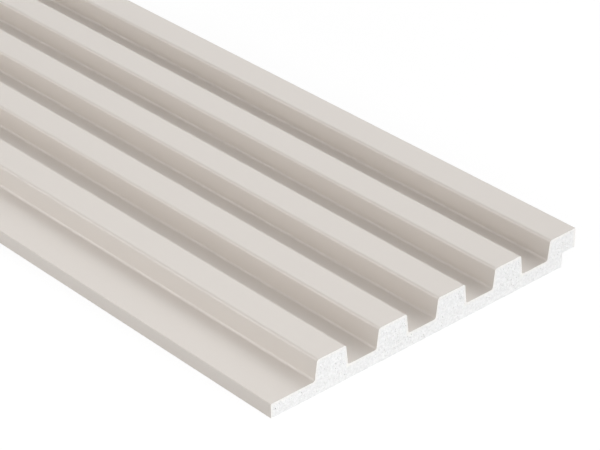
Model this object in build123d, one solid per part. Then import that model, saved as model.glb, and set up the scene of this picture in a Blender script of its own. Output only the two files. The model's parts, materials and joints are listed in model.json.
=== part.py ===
"""Decorative wall slat: one length of a foamed polystyrene wall panel profile.

The slat is a single extrusion with a constant section. It lies on its flat back with its ribs up.
X runs along the length, Y across the ribs and Z out of the wall, and the origin is at the middle
of the underside of the slat's box. All sizes are in millimetres.

Across the section, from the low side of Y to the high side:
- a thin flange, which slips under the lip of the slat beside it
- equal ribs with leaning sides and rounded tops, on a common web, with a groove between each two
- a last rib whose square outer side is cut away from below, which leaves a lip over a rebate
"""

import math
import os

from build123d import *

# Stock size
LENGTH = 2650.0
RIB_COUNT = 5
RIB_PITCH = 24.4
THICKNESS = 12.0

# Web and ribs
WEB_THICKNESS = 5.0
RIB_FOOT_WIDTH = 13.1
DRAFT_ANGLE = 7.3

# Lap between neighbouring slats
LIP_OVERLAP = 4.9
JOINT_GROOVE_WIDTH = 11.9
LAP_PLAY = 0.7
LAP_CLEARANCE = 0.15

# Rounding of the section's corners
RIB_TOP_RADIUS = 0.9
RIB_FOOT_RADIUS = 0.8
FILM_EDGE_RADIUS = 0.3
BACK_EDGE_RADIUS = 0.2

# Sizes that follow from the driving ones
COVER_WIDTH = RIB_COUNT * RIB_PITCH
OVERALL_WIDTH = COVER_WIDTH + LIP_OVERLAP
FLANGE_WIDTH = LIP_OVERLAP + JOINT_GROOVE_WIDTH
REBATE_WALL = COVER_WIDTH - LAP_PLAY
REBATE_HEIGHT = WEB_THICKNESS + LAP_CLEARANCE
SIDE_LEAN = (THICKNESS - WEB_THICKNESS) * math.tan(math.radians(DRAFT_ANGLE))


def rib_corners(foot):
    """Corners (y, z, radius) of one full rib that starts at foot, from its left foot to its right."""
    far_foot = foot + RIB_FOOT_WIDTH
    return [
        (foot, WEB_THICKNESS, RIB_FOOT_RADIUS),
        (foot + SIDE_LEAN, THICKNESS, RIB_TOP_RADIUS),
        (far_foot - SIDE_LEAN, THICKNESS, RIB_TOP_RADIUS),
        (far_foot, WEB_THICKNESS, RIB_FOOT_RADIUS),
    ]


def lip_corners(foot):
    """Corners of the last rib, from its left foot over the square lip to the rebate's lower edge."""
    return [
        (foot, WEB_THICKNESS, RIB_FOOT_RADIUS),
        (foot + SIDE_LEAN, THICKNESS, RIB_TOP_RADIUS),
        (OVERALL_WIDTH, THICKNESS, FILM_EDGE_RADIUS),
        (OVERALL_WIDTH, REBATE_HEIGHT, FILM_EDGE_RADIUS),
        (REBATE_WALL, REBATE_HEIGHT, BACK_EDGE_RADIUS),
        (REBATE_WALL, 0, BACK_EDGE_RADIUS),
    ]


def section_corners():
    """Corners of the whole section as (y, z, radius), measured from the flange's outer edge."""
    corners = [(0, 0, BACK_EDGE_RADIUS), (0, WEB_THICKNESS, FILM_EDGE_RADIUS)]
    for rib in range(RIB_COUNT - 1):
        corners += rib_corners(FLANGE_WIDTH + rib * RIB_PITCH)
    corners += lip_corners(FLANGE_WIDTH + (RIB_COUNT - 1) * RIB_PITCH)
    return corners


def section_face():
    """The section in the YZ plane, centred across the width."""
    corners = section_corners()
    points = [(y - OVERALL_WIDTH / 2, z) for y, z, _ in corners]
    radii = [radius for _, _, radius in corners]
    with BuildSketch(Plane.YZ) as section:
        with BuildLine():
            FilletPolyline(*points, radius=radii, close=True)
        make_face()
    return section.sketch


def slat():
    """The section extruded to length, with the origin half way along."""
    return extrude(section_face(), amount=LENGTH / 2, both=True)


os.makedirs("parts", exist_ok=True)
export_step(slat(), "parts/slat.step")
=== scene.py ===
"""Looks of the decorative wall slat: a film-faced length of foamed polystyrene wall panel.

The slat is one piece of stock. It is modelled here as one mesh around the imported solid, with finely
rounded rib edges and with the open cells that the saw leaves in the foam at both cut ends. A greige
film covers the ribbed face, from the foot of the flange's outer side to the foot of the lip's.
Everything is in metres; sizes are written in millimetres and multiplied by MM.
"""

import json
import math

import bmesh
import bpy
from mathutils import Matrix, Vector


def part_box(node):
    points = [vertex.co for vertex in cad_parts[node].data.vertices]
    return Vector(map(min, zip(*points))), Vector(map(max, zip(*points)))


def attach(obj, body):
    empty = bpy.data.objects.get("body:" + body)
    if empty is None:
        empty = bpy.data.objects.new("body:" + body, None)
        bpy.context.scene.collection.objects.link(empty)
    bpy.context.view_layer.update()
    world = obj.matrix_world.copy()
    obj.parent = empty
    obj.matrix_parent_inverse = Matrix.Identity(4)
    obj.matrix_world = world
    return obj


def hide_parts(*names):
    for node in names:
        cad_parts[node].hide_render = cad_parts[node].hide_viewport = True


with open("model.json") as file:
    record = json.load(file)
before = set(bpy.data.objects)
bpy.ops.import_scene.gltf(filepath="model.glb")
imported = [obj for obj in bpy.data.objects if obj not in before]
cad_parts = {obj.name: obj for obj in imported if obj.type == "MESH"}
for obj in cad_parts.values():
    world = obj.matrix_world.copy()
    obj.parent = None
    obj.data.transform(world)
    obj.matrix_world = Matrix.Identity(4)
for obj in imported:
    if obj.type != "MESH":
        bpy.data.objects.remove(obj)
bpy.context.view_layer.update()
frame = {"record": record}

MM = 0.001

# The slat's box and its lap, as packed. Y runs from the flange to the lip, X along the length.
low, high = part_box("slat")
mount_places = {mount["name"]: Vector(mount["pos_m"]) for mount in frame["record"]["mounts"]}
LENGTH = high.x - low.x
RIB_TOP = high.z
WEB_TOP = mount_places["flange_ledge"].z
LIP_UNDERSIDE = mount_places["lip_underside"].z
REBATE_WALL = mount_places["rebate_wall"].y

# Ribs
RIB_COUNT = 5
RIB_PITCH = 24.4 * MM
RIB_FOOT_WIDTH = 13.1 * MM
FLANGE_WIDTH = 16.8 * MM
DRAFT_ANGLE = math.radians(7.3)
FIRST_FOOT = low.y + FLANGE_WIDTH
SIDE_LEAN = (RIB_TOP - WEB_TOP) * math.tan(DRAFT_ANGLE)

# Rounding: the radii, the steps of an arc, and the bevel profile that makes a true arc
RIB_TOP_RADIUS = 0.9 * MM
RIB_FOOT_RADIUS = 0.8 * MM
FILM_EDGE_RADIUS = 0.3 * MM
BACK_EDGE_RADIUS = 0.2 * MM
RIB_ARC_STEPS = 10
SMALL_ARC_STEPS = 5
ARC_PROFILE = 0.5

# How close two places have to be to count as the same, and how close to a plane its cut takes hold
NEAR = 0.001 * MM
CUT_HOLD = NEAR / 10

# How much of a face's normal has to lie along an axis for the face to look that way, and straight so
FACING = 0.9
FACING_STRAIGHT = 0.999

# The angle up to which faces are joined as one flat face, and up to which edges are shaded smooth
FLAT_ANGLE = math.radians(0.5)
SMOOTH_ANGLE = math.radians(30)


# Selecting and shaping

def start_on(piece, mode="EDIT"):
    """Makes the piece the only selected and active object, in the given mode."""
    bpy.ops.object.select_all(action="DESELECT")
    piece.select_set(True)
    bpy.context.view_layer.objects.active = piece
    bpy.ops.object.mode_set(mode=mode)


def pick_faces(piece, wanted):
    """Selects the faces whose centre and normal are wanted, in edit mode."""
    bpy.ops.mesh.select_mode(type="FACE")
    bpy.ops.mesh.select_all(action="DESELECT")
    mesh = bmesh.from_edit_mesh(piece.data)
    for face in mesh.faces:
        face.select_set(wanted(face.calc_center_median(), face.normal))
    bmesh.update_edit_mesh(piece.data)


def pick_long_edges(piece, y, z):
    """Selects the edges that run the whole length at one place of the section, in edit mode."""
    bpy.ops.mesh.select_mode(type="EDGE")
    bpy.ops.mesh.select_all(action="DESELECT")
    mesh = bmesh.from_edit_mesh(piece.data)
    for edge in mesh.edges:
        ends = [vertex.co for vertex in edge.verts]
        here = all(math.hypot(end.y - y, end.z - z) < NEAR for end in ends)
        edge.select_set(here and abs(ends[0].x - ends[1].x) > LENGTH / 2)
    bmesh.update_edit_mesh(piece.data)


def cut_across(y=None, z=None):
    """Cuts what is selected along a plane across the width or at a height."""
    place = (0, y, 0) if y is not None else (0, 0, z)
    normal = (0, 1, 0) if y is not None else (0, 0, 1)
    bpy.ops.mesh.bisect(plane_co=place, plane_no=normal, threshold=CUT_HOLD)


def round_corner(piece, y, z, radius, inner_angle, steps):
    """Rounds the long edge at (y, z), where two faces meet at inner_angle, to a radius."""
    pick_long_edges(piece, y, z)
    bpy.ops.mesh.bevel(
        offset_type="OFFSET",
        offset=radius / math.tan(inner_angle / 2),
        segments=steps,
        profile=ARC_PROFILE,
        affect="EDGES",
    )


def apply_modifier(piece, kind, settings):
    """Adds a modifier with its settings and applies it."""
    start_on(piece, "OBJECT")
    modifier = piece.modifiers.new(kind.lower(), kind)
    for name, value in settings.items():
        setattr(modifier, name, value)
    bpy.ops.object.modifier_apply(modifier=modifier.name)


# The profile

def rib_feet():
    """The Y of each rib's left and right foot. The last rib ends at the rebate's wall."""
    feet = []
    for rib in range(RIB_COUNT):
        left = FIRST_FOOT + rib * RIB_PITCH
        feet.append((left, left + RIB_FOOT_WIDTH if rib < RIB_COUNT - 1 else REBATE_WALL))
    return feet


def add_web():
    """The flat web with the flange, as one box from the flange's edge to the rebate's wall."""
    bpy.ops.object.select_all(action="DESELECT")
    bpy.ops.mesh.primitive_cube_add(
        size=1,
        location=(0, (low.y + REBATE_WALL) / 2, WEB_TOP / 2),
        scale=(LENGTH, REBATE_WALL - low.y, WEB_TOP),
    )
    web = bpy.context.object
    web.name = web.data.name = "wall_slat"
    bpy.ops.object.transform_apply(location=True, rotation=True, scale=True)
    return web


def raise_ribs(slat):
    """Cuts the web's top at the rib feet, and draws each rib up from it with leaning sides.

    The last rib's outer side stands upright, over the rebate's wall.
    """
    start_on(slat)
    for left, right in rib_feet():
        for foot in (left, right):
            bpy.ops.mesh.select_all(action="SELECT")
            cut_across(y=foot)
    for left, right in rib_feet():
        pick_faces(slat, lambda centre, normal: normal.z > FACING and left < centre.y < right)
        bpy.ops.mesh.extrude_region_move(TRANSFORM_OT_translate={"value": (0, 0, RIB_TOP - WEB_TOP)})
        outer_lean = 0 if right == REBATE_WALL else SIDE_LEAN
        foot_width = right - left
        top_width = foot_width - SIDE_LEAN - outer_lean
        still = right if outer_lean == 0 else (left + right) / 2
        bpy.ops.transform.resize(value=(1, top_width / foot_width, 1), center_override=(0, still, RIB_TOP))


def draw_out_lip(slat):
    """Draws the last rib's outer side out over the rebate, above the next slat's flange."""
    def outer_side(centre, normal):
        return normal.y > FACING and abs(centre.y - REBATE_WALL) < NEAR

    pick_faces(slat, lambda centre, normal: outer_side(centre, normal) and centre.z > WEB_TOP)
    cut_across(z=LIP_UNDERSIDE)
    pick_faces(slat, lambda centre, normal: outer_side(centre, normal) and centre.z > LIP_UNDERSIDE)
    bpy.ops.mesh.extrude_region_move(TRANSFORM_OT_translate={"value": (0, high.y - REBATE_WALL, 0)})


def join_flat_faces():
    """Clears the seams that the cuts left in flat faces."""
    bpy.ops.mesh.select_all(action="SELECT")
    bpy.ops.mesh.dissolve_limited(angle_limit=FLAT_ANGLE)


def round_profile(slat):
    """Rounds every long corner of the profile."""
    square = math.pi / 2
    leaning = square + DRAFT_ANGLE
    for left, right in rib_feet():
        round_corner(slat, left, WEB_TOP, RIB_FOOT_RADIUS, leaning, RIB_ARC_STEPS)
        round_corner(slat, left + SIDE_LEAN, RIB_TOP, RIB_TOP_RADIUS, leaning, RIB_ARC_STEPS)
        if right != REBATE_WALL:
            round_corner(slat, right, WEB_TOP, RIB_FOOT_RADIUS, leaning, RIB_ARC_STEPS)
            round_corner(slat, right - SIDE_LEAN, RIB_TOP, RIB_TOP_RADIUS, leaning, RIB_ARC_STEPS)
    for y, z in ((low.y, WEB_TOP), (high.y, RIB_TOP), (high.y, LIP_UNDERSIDE)):
        round_corner(slat, y, z, FILM_EDGE_RADIUS, square, SMALL_ARC_STEPS)
    for y, z in ((low.y, low.z), (REBATE_WALL, low.z), (REBATE_WALL, LIP_UNDERSIDE)):
        round_corner(slat, y, z, BACK_EDGE_RADIUS, square, SMALL_ARC_STEPS)


# The finishes

WHITE = (1, 1, 1, 1)


def colour(code):
    """A hex sRGB colour as linear RGBA. The bare numbers are those of the sRGB curve."""
    parts = [int(code[start : start + 2], 16) / 255 for start in (1, 3, 5)]
    return (*(part / 12.92 if part <= 0.04045 else ((part + 0.055) / 1.055) ** 2.4 for part in parts), 1)


def add_node(tree, kind, inputs=None, **settings):
    """Adds a node with its settings, fills or links its inputs, and returns it.

    A node that is given for an input stands for its own first output.
    """
    node = tree.nodes.new(kind)
    for name, value in settings.items():
        setattr(node, name, value)
    for name, value in (inputs or {}).items():
        if isinstance(value, bpy.types.Node):
            value = value.outputs[0]
        if isinstance(value, bpy.types.NodeSocket):
            tree.links.new(value, node.inputs[name])
        else:
            node.inputs[name].default_value = value
    return node


def new_material(name):
    """An empty node material. Returns it with its tree and the tree's Object coordinates."""
    material = bpy.data.materials.new(name)
    material.use_nodes = True
    tree = material.node_tree
    tree.nodes.clear()
    return material, tree, add_node(tree, "ShaderNodeTexCoord").outputs["Object"]


# The film: its two tones and the size of the drift between them, the size and depth of its grain, and
# how rough it is in the grain's hollows and on its heights
FILM_TONES = ("#DBD4CD", "#DDD6CF")
FILM_DRIFT = 45 * MM
FILM_GRAIN = 0.5 * MM
FILM_GRAIN_DEPTH = 0.004 * MM
FILM_ROUGHNESS = (0.36, 0.44)
FILM_IOR = 1.49


def film_material():
    """Polypropylene film, calendered matt and laminated on: an even greige with a soft satin sheen.

    Its grain is drawn coarser than the real one, which is too fine to show.
    """
    material, tree, place = new_material("polypropylene_film_laminated")
    drift = add_node(tree, "ShaderNodeTexNoise", {"Vector": place, "Scale": 1 / FILM_DRIFT, "Detail": 2})
    tone = add_node(tree, "ShaderNodeMix", {
        "Factor": drift, "A": colour(FILM_TONES[0]), "B": colour(FILM_TONES[1]),
    }, data_type="RGBA")
    grain = add_node(tree, "ShaderNodeTexNoise", {"Vector": place, "Scale": 1 / FILM_GRAIN, "Detail": 3})
    rough = add_node(tree, "ShaderNodeMapRange", {
        "Value": grain, "To Min": FILM_ROUGHNESS[0], "To Max": FILM_ROUGHNESS[1],
    })
    bump = add_node(tree, "ShaderNodeBump", {
        "Height": grain, "Distance": FILM_GRAIN_DEPTH, "Strength": 1.0,
    })
    shader = add_node(tree, "ShaderNodeBsdfPrincipled", {
        "Base Color": tone.outputs[2], "Roughness": rough, "Normal": bump, "IOR": FILM_IOR,
    })
    add_node(tree, "ShaderNodeOutputMaterial", {"Surface": shader})
    return material


def depth_under_film(tree, place):
    """How deep a place of the cut end lies under the film, worked out from the profile's sizes."""
    split = add_node(tree, "ShaderNodeSeparateXYZ", {"Vector": place})
    y, z = split.outputs["Y"], split.outputs["Z"]
    first_middle = FIRST_FOOT + RIB_FOOT_WIDTH / 2
    half_foot = RIB_FOOT_WIDTH / 2
    half_pitch = RIB_PITCH / 2
    from_first = add_node(tree, "ShaderNodeMath", {0: y, 1: first_middle}, operation="SUBTRACT")
    to_flange = add_node(tree, "ShaderNodeMath", {0: from_first, 1: -1.0}, operation="MULTIPLY")
    from_any = add_node(tree, "ShaderNodeMath", {0: from_first, 1: half_pitch}, operation="PINGPONG")
    from_rib = add_node(tree, "ShaderNodeMath", {0: from_any, 1: to_flange}, operation="MAXIMUM")
    over_web = add_node(tree, "ShaderNodeMath", {0: z, 1: WEB_TOP}, operation="SUBTRACT")
    above_web = add_node(tree, "ShaderNodeMath", {0: over_web, 1: 0.0}, operation="MAXIMUM")
    lean = add_node(tree, "ShaderNodeMath", {0: above_web, 1: math.tan(DRAFT_ANGLE)}, operation="MULTIPLY")
    half_rib = add_node(tree, "ShaderNodeMath", {0: half_foot, 1: lean}, operation="SUBTRACT")
    past_side = add_node(tree, "ShaderNodeMath", {0: half_rib, 1: from_rib}, operation="SUBTRACT")
    in_rib = add_node(tree, "ShaderNodeMath", {0: past_side, 1: 0.0}, operation="MAXIMUM")
    under_web_top = add_node(tree, "ShaderNodeMath", {0: WEB_TOP, 1: z}, operation="SUBTRACT")
    in_web = add_node(tree, "ShaderNodeMath", {0: under_web_top, 1: 0.0}, operation="MAXIMUM")
    in_both = add_node(tree, "ShaderNodeCombineXYZ", {"X": in_rib, "Y": in_web})
    to_groove = add_node(tree, "ShaderNodeVectorMath", {0: in_both}, operation="LENGTH").outputs["Value"]
    to_top = add_node(tree, "ShaderNodeMath", {0: RIB_TOP, 1: z}, operation="SUBTRACT")
    to_flange_side = add_node(tree, "ShaderNodeMath", {0: y, 1: low.y}, operation="SUBTRACT")
    to_lip_side = add_node(tree, "ShaderNodeMath", {0: high.y, 1: y}, operation="SUBTRACT")
    to_sides = add_node(tree, "ShaderNodeMath", {0: to_flange_side, 1: to_lip_side}, operation="MINIMUM")
    to_face = add_node(tree, "ShaderNodeMath", {0: to_groove, 1: to_top}, operation="MINIMUM")
    return add_node(tree, "ShaderNodeMath", {0: to_face, 1: to_sides}, operation="MINIMUM")


# The foam in both of its finishes
FOAM_IOR = 1.5

# Foam, sawn: its lightest and darkest tone, the size and depth of its cells, the size of the clumps
# that they lie in, how much a cell's shade counts beside its clump's, the sums of the two that are
# lightest and darkest, and how rough it is
SAWN_TONES = ("#FEFEFE", "#EFEFEF")
SAWN_CELL = 0.34 * MM
SAWN_CELL_DEPTH = 0.10 * MM
SAWN_CLUMP = 0.9 * MM
CELL_WEIGHT = 0.35
TONE_SPAN = (0.42, 0.88)
SAWN_ROUGHNESS = 0.9

# The denser rim under the film: its tone, the depths between which it fades out, how far these waver,
# and how much of the tone it has at most
RIM_TONE = "#FDFAF5"
RIM_DEPTHS = (0.6 * MM, 1.8 * MM)
RIM_WAVE = 0.8 * MM
RIM_SHARE = 0.5


def sawn_foam_material():
    """Foamed polystyrene, sawn across: dead matt and white, with fine cells and a denser rim.

    Its cells are drawn coarser than the finest real ones, which are too fine to show.
    """
    material, tree, place = new_material("polystyrene_foam_sawn")
    cells = add_node(tree, "ShaderNodeTexVoronoi", {"Vector": place, "Scale": 1 / SAWN_CELL})
    clumps = add_node(tree, "ShaderNodeTexNoise", {"Vector": place, "Scale": 1 / SAWN_CLUMP, "Detail": 2})
    shade = add_node(tree, "ShaderNodeMath", {
        0: cells, 1: CELL_WEIGHT, 2: clumps,
    }, operation="MULTIPLY_ADD")
    darkness = add_node(tree, "ShaderNodeMapRange", {
        "Value": shade, "From Min": TONE_SPAN[0], "From Max": TONE_SPAN[1],
    })
    tone = add_node(tree, "ShaderNodeMix", {
        "Factor": darkness, "A": colour(SAWN_TONES[0]), "B": colour(SAWN_TONES[1]),
    }, data_type="RGBA")
    wavy_depth = add_node(tree, "ShaderNodeMath", {
        0: clumps, 1: RIM_WAVE, 2: depth_under_film(tree, place),
    }, operation="MULTIPLY_ADD")
    rim = add_node(tree, "ShaderNodeMapRange", {
        "Value": wavy_depth, "From Min": RIM_DEPTHS[0], "From Max": RIM_DEPTHS[1],
        "To Min": RIM_SHARE, "To Max": 0.0,
    }, interpolation_type="SMOOTHSTEP")
    rimmed = add_node(tree, "ShaderNodeMix", {
        "Factor": rim, "A": tone.outputs[2], "B": colour(RIM_TONE),
    }, data_type="RGBA")
    bump = add_node(tree, "ShaderNodeBump", {
        "Height": cells, "Distance": SAWN_CELL_DEPTH, "Strength": 1.0,
    })
    shader = add_node(tree, "ShaderNodeBsdfPrincipled", {
        "Base Color": rimmed.outputs[2], "Roughness": SAWN_ROUGHNESS, "Normal": bump, "IOR": FOAM_IOR,
    })
    add_node(tree, "ShaderNodeOutputMaterial", {"Surface": shader})
    return material


# Foam skin: its two tones, the width, depth and strength of its draw lines, how little X counts in
# them beside Y and Z, and how rough it is
SKIN_TONES = ("#EEEEEB", "#F5F5F3")
DRAW_LINE = 1.5 * MM
DRAW_LINE_DEPTH = 0.05 * MM
DRAW_LINE_STRENGTH = 0.6
DRAW_LINE_SCALE = (0.004, 1, 1)
SKIN_ROUGHNESS = 0.55


def foam_skin_material():
    """Foamed polystyrene, as extruded: smooth white skin with faint draw lines along the length."""
    material, tree, place = new_material("polystyrene_foam_extruded_skin")
    stretched = add_node(tree, "ShaderNodeMapping", {"Vector": place, "Scale": DRAW_LINE_SCALE})
    lines = add_node(tree, "ShaderNodeTexNoise", {
        "Vector": stretched, "Scale": 1 / DRAW_LINE, "Detail": 4,
    })
    tone = add_node(tree, "ShaderNodeMix", {
        "Factor": lines, "A": colour(SKIN_TONES[0]), "B": colour(SKIN_TONES[1]),
    }, data_type="RGBA")
    bump = add_node(tree, "ShaderNodeBump", {
        "Height": lines, "Distance": DRAW_LINE_DEPTH, "Strength": DRAW_LINE_STRENGTH,
    })
    shader = add_node(tree, "ShaderNodeBsdfPrincipled", {
        "Base Color": tone.outputs[2], "Roughness": SKIN_ROUGHNESS, "Normal": bump, "IOR": FOAM_IOR,
    })
    add_node(tree, "ShaderNodeOutputMaterial", {"Surface": shader})
    return material


# The finishes' places in the slat's material slots
FILM, SAWN, SKIN = range(3)


def wears(centre, normal):
    """Which finish a face of the profile has: sawn ends, and bare skin on the back and in the rebate."""
    if abs(normal.x) > FACING:
        return SAWN
    under_lip = REBATE_WALL - BACK_EDGE_RADIUS < centre.y < high.y - FILM_EDGE_RADIUS
    if normal.z < -FACING_STRAIGHT or (under_lip and centre.z < LIP_UNDERSIDE):
        return SKIN
    return FILM


def dress(slat):
    """Gives the slat its three finishes, face by face."""
    bpy.ops.object.mode_set(mode="OBJECT")
    for material in (film_material(), sawn_foam_material(), foam_skin_material()):
        slat.data.materials.append(material)
    for face in slat.data.polygons:
        face.material_index = wears(face.center, face.normal)


# The cut ends

# Open cells: name, diameter, least spacing, most per square millimetre, how far they stay from the
# outline, and ball detail
CELL_SORTS = (
    ("burst_cells", 0.50 * MM, 0.70 * MM, 1.0, 0.7 * MM, 2),
    ("fine_cells", 0.28 * MM, 0.40 * MM, 2.6, 0.4 * MM, 1),
)

# The drifts that the cells come in, how deep under the outline the core begins, and the noise level
# under which a place stays closed, at the outline and in the core
DRIFT_SIZE = 3.0 * MM
CORE_DEPTH = 3.0 * MM
CLOSED_LEVELS = (0.56, 0.46)

# How far the ball that opens a cell has its middle over the cut, in diameters, and how much it is
# squeezed or drawn out each way
BALL_HEIGHTS = (-0.3, 0.1)
BALL_STRETCHES = (0.6, 1.3)

# Seeds: the step from one set of cells to the next, and what each kind of draw adds
SEED_STEP = 10
TURN_DRAW = 1
STRETCH_DRAW = 2
HEIGHT_DRAW = 3


def cell_recipe(name, diameter, spacing, density, skin, detail, seed):
    """Geometry nodes that set a ball of random shape, turn and height at each of many points on a face.

    The points come in drifts, and more of them lie in the core than near the outline.
    """
    tree = bpy.data.node_groups.new(name, "GeometryNodeTree")
    tree.interface.new_socket("Face", in_out="INPUT", socket_type="NodeSocketGeometry")
    tree.interface.new_socket("Balls", in_out="OUTPUT", socket_type="NodeSocketGeometry")
    face = add_node(tree, "NodeGroupInput")
    points = add_node(tree, "GeometryNodeDistributePointsOnFaces", {
        "Mesh": face, "Distance Min": spacing, "Density Max": density / MM**2, "Seed": seed,
    }, distribute_method="POISSON")
    outline = add_node(tree, "GeometryNodeProximity", {"Geometry": face}, target_element="EDGES")
    depth = outline.outputs["Distance"]
    in_skin = add_node(tree, "FunctionNodeCompare", {
        "A": depth, "B": skin,
    }, data_type="FLOAT", operation="LESS_THAN")
    foamed = add_node(tree, "GeometryNodeDeleteGeometry", {
        "Geometry": points.outputs["Points"], "Selection": in_skin,
    }, domain="POINT")
    drifts = add_node(tree, "ShaderNodeTexNoise", {"Scale": 1 / DRIFT_SIZE, "Detail": 1})
    closed_level = add_node(tree, "ShaderNodeMapRange", {
        "Value": depth, "From Max": CORE_DEPTH, "To Min": CLOSED_LEVELS[0], "To Max": CLOSED_LEVELS[1],
    })
    closed = add_node(tree, "FunctionNodeCompare", {
        "A": drifts, "B": closed_level,
    }, data_type="FLOAT", operation="LESS_THAN")
    opened = add_node(tree, "GeometryNodeDeleteGeometry", {
        "Geometry": foamed, "Selection": closed,
    }, domain="POINT")
    height = add_node(tree, "FunctionNodeRandomValue", {
        2: BALL_HEIGHTS[0] * diameter, 3: BALL_HEIGHTS[1] * diameter, "Seed": seed + HEIGHT_DRAW,
    }, data_type="FLOAT")
    rise = add_node(tree, "ShaderNodeVectorMath", {
        0: points.outputs["Normal"], "Scale": height.outputs[1],
    }, operation="SCALE")
    sunk = add_node(tree, "GeometryNodeSetPosition", {"Geometry": opened, "Offset": rise})
    ball = add_node(tree, "GeometryNodeMeshIcoSphere", {"Radius": diameter / 2, "Subdivisions": detail})
    turn = add_node(tree, "FunctionNodeRandomValue", {
        "Max": (math.tau,) * 3, "Seed": seed + TURN_DRAW,
    }, data_type="FLOAT_VECTOR")
    stretch = add_node(tree, "FunctionNodeRandomValue", {
        "Min": (BALL_STRETCHES[0],) * 3, "Max": (BALL_STRETCHES[1],) * 3, "Seed": seed + STRETCH_DRAW,
    }, data_type="FLOAT_VECTOR")
    balls = add_node(tree, "GeometryNodeInstanceOnPoints", {
        "Points": sunk, "Instance": ball, "Rotation": turn, "Scale": stretch,
    })
    real = add_node(tree, "GeometryNodeRealizeInstances", {"Geometry": balls})
    add_node(tree, "NodeGroupOutput", {0: real})
    return tree


def cell_face(slat, side):
    """A copy of one cut end: the +X one for side 1, the -X one for side -1."""
    start_on(slat)
    pick_faces(slat, lambda centre, normal: normal.x * side > FACING)
    bpy.ops.mesh.duplicate()
    bpy.ops.mesh.separate(type="SELECTED")
    bpy.ops.object.mode_set(mode="OBJECT")
    (copy,) = [piece for piece in bpy.context.selected_objects if piece is not slat]
    return copy


def open_cells(slat):
    """Opens foam cells in both cut ends, large ones few and far between and fine ones in between."""
    foam = slat.data.materials[SAWN]
    seed = 0
    for side in (1, -1):
        for sort in CELL_SORTS:
            seed += SEED_STEP
            balls = cell_face(slat, side)
            recipe = cell_recipe(*sort, seed)
            apply_modifier(balls, "NODES", {"node_group": recipe})
            bpy.data.node_groups.remove(recipe)
            balls.data.materials.clear()
            balls.data.materials.append(foam)
            apply_modifier(slat, "BOOLEAN", {
                "object": balls, "operation": "DIFFERENCE", "solver": "MANIFOLD",
                "material_mode": "TRANSFER",
            })
            bpy.data.objects.remove(balls)


def make_slat():
    """The whole slat, finished."""
    slat = add_web()
    raise_ribs(slat)
    draw_out_lip(slat)
    join_flat_faces()
    round_profile(slat)
    dress(slat)
    open_cells(slat)
    start_on(slat, "OBJECT")
    bpy.ops.object.shade_smooth_by_angle(angle=SMOOTH_ANGLE)
    apply_modifier(slat, "WEIGHTED_NORMAL", {"keep_sharp": True})
    return slat


slat = make_slat()
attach(slat, "root")
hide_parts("slat")


# Floor, light and camera

# The floor's size, and how far under the slat's back it lies, so that the two don't share a plane
FLOOR_SIZE = 120.0
FLOOR_DROP = 0.02 * MM

# Its paper: the tone, the glow that the camera sees in it, and the glow's share of what is seen near
# the slat. The share rises to the whole between a part of the reach along X and Y and all of it.
PAPER_TONE = "#C0C0C0"
PAPER_GLOW = 1.22
PAPER_WHITENESS = 0.72
PAPER_REACH = (2.3, 0.9)
PAPER_FADE_START = 0.5


def paper_material():
    """Paper, coated matt: pale, and near white to the camera. It takes the slat's shadow.

    Further out it fades to plain white.
    """
    material, tree, place = new_material("paper_matt_white")
    paper = add_node(tree, "ShaderNodeBsdfDiffuse", {"Color": colour(PAPER_TONE)})
    white = add_node(tree, "ShaderNodeEmission", {"Color": WHITE, "Strength": PAPER_GLOW})
    reach = add_node(tree, "ShaderNodeMapping", {
        "Vector": place, "Scale": (1 / PAPER_REACH[0], 1 / PAPER_REACH[1], 0),
    })
    far_out = add_node(tree, "ShaderNodeVectorMath", {0: reach}, operation="LENGTH").outputs["Value"]
    whiteness = add_node(tree, "ShaderNodeMapRange", {
        "Value": far_out, "From Min": PAPER_FADE_START, "To Min": PAPER_WHITENESS, "To Max": 1.0,
    }, interpolation_type="SMOOTHSTEP")
    path = add_node(tree, "ShaderNodeLightPath")
    seen = add_node(tree, "ShaderNodeMath", {
        0: path.outputs["Is Camera Ray"], 1: path.outputs["Is Glossy Ray"],
    }, operation="MAXIMUM")
    share = add_node(tree, "ShaderNodeMath", {0: seen, 1: whiteness}, operation="MULTIPLY")
    mixed = add_node(tree, "ShaderNodeMixShader", {"Fac": share, 1: paper, 2: white})
    add_node(tree, "ShaderNodeOutputMaterial", {"Surface": mixed})
    return material


def add_floor():
    """A wide flat floor just under the slat."""
    bpy.ops.object.select_all(action="DESELECT")
    bpy.ops.mesh.primitive_plane_add(size=FLOOR_SIZE, location=(0, 0, low.z - FLOOR_DROP))
    floor = bpy.context.object
    floor.name = "floor"
    floor.data.materials.append(paper_material())


# The studio: how bright its air is, and what the film mirrors of it. Its walls are white up to a dark
# ceiling, whose edge lies between two elevations. A bright window at an azimuth and elevation stands in
# front of them, and fades between two angles from its middle.
WORLD_LEVEL = 0.39
CEILING_EDGE = (math.radians(33), math.radians(40))
MIRRORED_WINDOW = (-35, 32)
MIRRORED_WINDOW_EDGE = (math.radians(10), math.radians(25))
MIRRORED_WINDOW_SHINE = 4.2


def direction(azimuth, elevation):
    """The unit vector towards these angles in degrees, where azimuth 0 is the -Y side and 90 is +X."""
    turn = math.radians(azimuth)
    rise = math.radians(elevation)
    return Vector((math.sin(turn) * math.cos(rise), -math.cos(turn) * math.cos(rise), math.sin(rise)))


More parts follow.
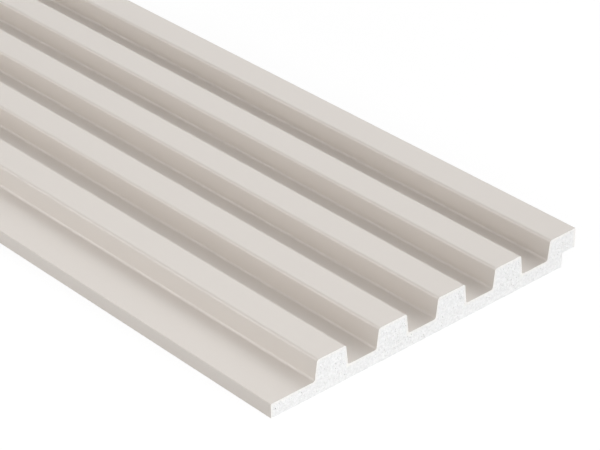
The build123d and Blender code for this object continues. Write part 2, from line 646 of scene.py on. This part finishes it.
def mirrored_studio(tree):
    """How bright the studio is in the direction that the film mirrors."""
    ray = add_node(tree, "ShaderNodeTexCoord").outputs["Generated"]
    height = add_node(tree, "ShaderNodeSeparateXYZ", {"Vector": ray}).outputs["Z"]
    walls = add_node(tree, "ShaderNodeMapRange", {
        "Value": height, "From Min": math.sin(CEILING_EDGE[0]), "From Max": math.sin(CEILING_EDGE[1]),
        "To Min": 1.0, "To Max": 0.0,
    }, interpolation_type="SMOOTHSTEP")
    facing = add_node(tree, "ShaderNodeVectorMath", {
        0: ray, 1: direction(*MIRRORED_WINDOW),
    }, operation="DOT_PRODUCT").outputs["Value"]
    inner, outer = MIRRORED_WINDOW_EDGE
    return add_node(tree, "ShaderNodeMapRange", {
        "Value": facing, "From Min": math.cos(outer), "From Max": math.cos(inner),
        "To Min": walls, "To Max": MIRRORED_WINDOW_SHINE,
    }, interpolation_type="SMOOTHSTEP")


def light_world():
    """The studio: an even pale light, white to the camera, and bright walls to what mirrors them."""
    world = bpy.data.worlds.new("white_room")
    world.use_nodes = True
    tree = world.node_tree
    tree.nodes.clear()
    path = add_node(tree, "ShaderNodeLightPath")
    mirrored = add_node(tree, "ShaderNodeMapRange", {
        "Value": path.outputs["Is Glossy Ray"], "To Min": WORLD_LEVEL, "To Max": mirrored_studio(tree),
    })
    level = add_node(tree, "ShaderNodeMapRange", {
        "Value": path.outputs["Is Camera Ray"], "To Min": mirrored, "To Max": 1.0,
    })
    sky = add_node(tree, "ShaderNodeBackground", {"Color": WHITE, "Strength": level})
    add_node(tree, "ShaderNodeOutputWorld", {"Surface": sky})
    bpy.context.scene.world = world


# Soft daylight from far off: name, azimuth, elevation and strength. Where its lamps stand is only for
# show, because such light is the same at any distance.
DAYLIGHTS = (
    ("window_behind_left", 225, 38, 0.48),
    ("window_behind", 180, 30, 0.35),
    ("window_behind_near_end", 120, 35, 0.43),
    ("window_off_near_end", 90, 15, 1.31),
)
DAYLIGHT_SPREAD = math.radians(25)
DAYLIGHT_DISTANCE = 3.0

# Strip lamps beside the flange, as long as the slat and more: name, elevation, distance, width, power
STRIPS = (
    ("flange_strip_high", 30, 0.4, 0.12, 2.08),
    ("flange_strip_low", 10, 0.4, 0.12, 0.87),
)
STRIP_AZIMUTH = 0
STRIP_LENGTH = 3.4


def add_lamp(kind, name, azimuth, elevation, distance, power):
    """A lamp that faces the slat's middle from these angles, and isn't seen itself."""
    out = direction(azimuth, elevation)
    bpy.ops.object.light_add(
        type=kind,
        location=out * distance,
        rotation=out.to_track_quat("Z", "Y").to_euler(),
    )
    lamp = bpy.context.object
    lamp.name = name
    lamp.visible_camera = False
    lamp.data.energy = power
    return lamp


def add_lamps():
    """Daylight from behind and from off the near end, and strip lamps beside the flange."""
    for name, azimuth, elevation, strength in DAYLIGHTS:
        window = add_lamp("SUN", name, azimuth, elevation, DAYLIGHT_DISTANCE, strength)
        window.data.angle = DAYLIGHT_SPREAD
    for name, elevation, distance, width, power in STRIPS:
        strip = add_lamp("AREA", name, STRIP_AZIMUTH, elevation, distance, power)
        strip.data.shape = "RECTANGLE"
        strip.data.size = STRIP_LENGTH
        strip.data.size_y = width


# Camera: its angles in degrees, its lens and sensor, the pixel of the 600 by 450 picture on which the
# near bottom corner of the flange falls, how far off that corner is, and what is near or far enough
# to be seen
CAMERA_AZIMUTH = 47.757
CAMERA_ELEVATION = 30.784
PICTURE_WIDTH = 600
PICTURE_HEIGHT = 450
FOCAL_PIXELS = 2391.7
SENSOR_WIDTH = 36.0
CORNER_PIXEL = (270.95, 418.81)
CORNER_DEPTH = 676.4 * MM
NEAREST_SEEN = 0.05
FURTHEST_SEEN = 200.0


def add_camera():
    """The photograph's view of the near end."""
    back = direction(CAMERA_AZIMUTH, CAMERA_ELEVATION)
    turn = back.to_track_quat("Z", "Y")
    right = turn @ Vector((1, 0, 0))
    up = turn @ Vector((0, 1, 0))
    across = (CORNER_PIXEL[0] - PICTURE_WIDTH / 2) / FOCAL_PIXELS * CORNER_DEPTH
    above = (PICTURE_HEIGHT / 2 - CORNER_PIXEL[1]) / FOCAL_PIXELS * CORNER_DEPTH
    corner = Vector((high.x, low.y, low.z))
    bpy.ops.object.camera_add(
        location=corner + back * CORNER_DEPTH - right * across - up * above,
        rotation=turn.to_euler(),
    )
    camera = bpy.context.object
    camera.name = "photo_view"
    camera.data.sensor_width = SENSOR_WIDTH
    camera.data.lens = FOCAL_PIXELS * SENSOR_WIDTH / PICTURE_WIDTH
    camera.data.clip_start = NEAREST_SEEN
    camera.data.clip_end = FURTHEST_SEEN
    bpy.context.scene.camera = camera


add_floor()
light_world()
add_lamps()
add_camera()
bpy.context.scene.view_settings.view_transform = "Standard"
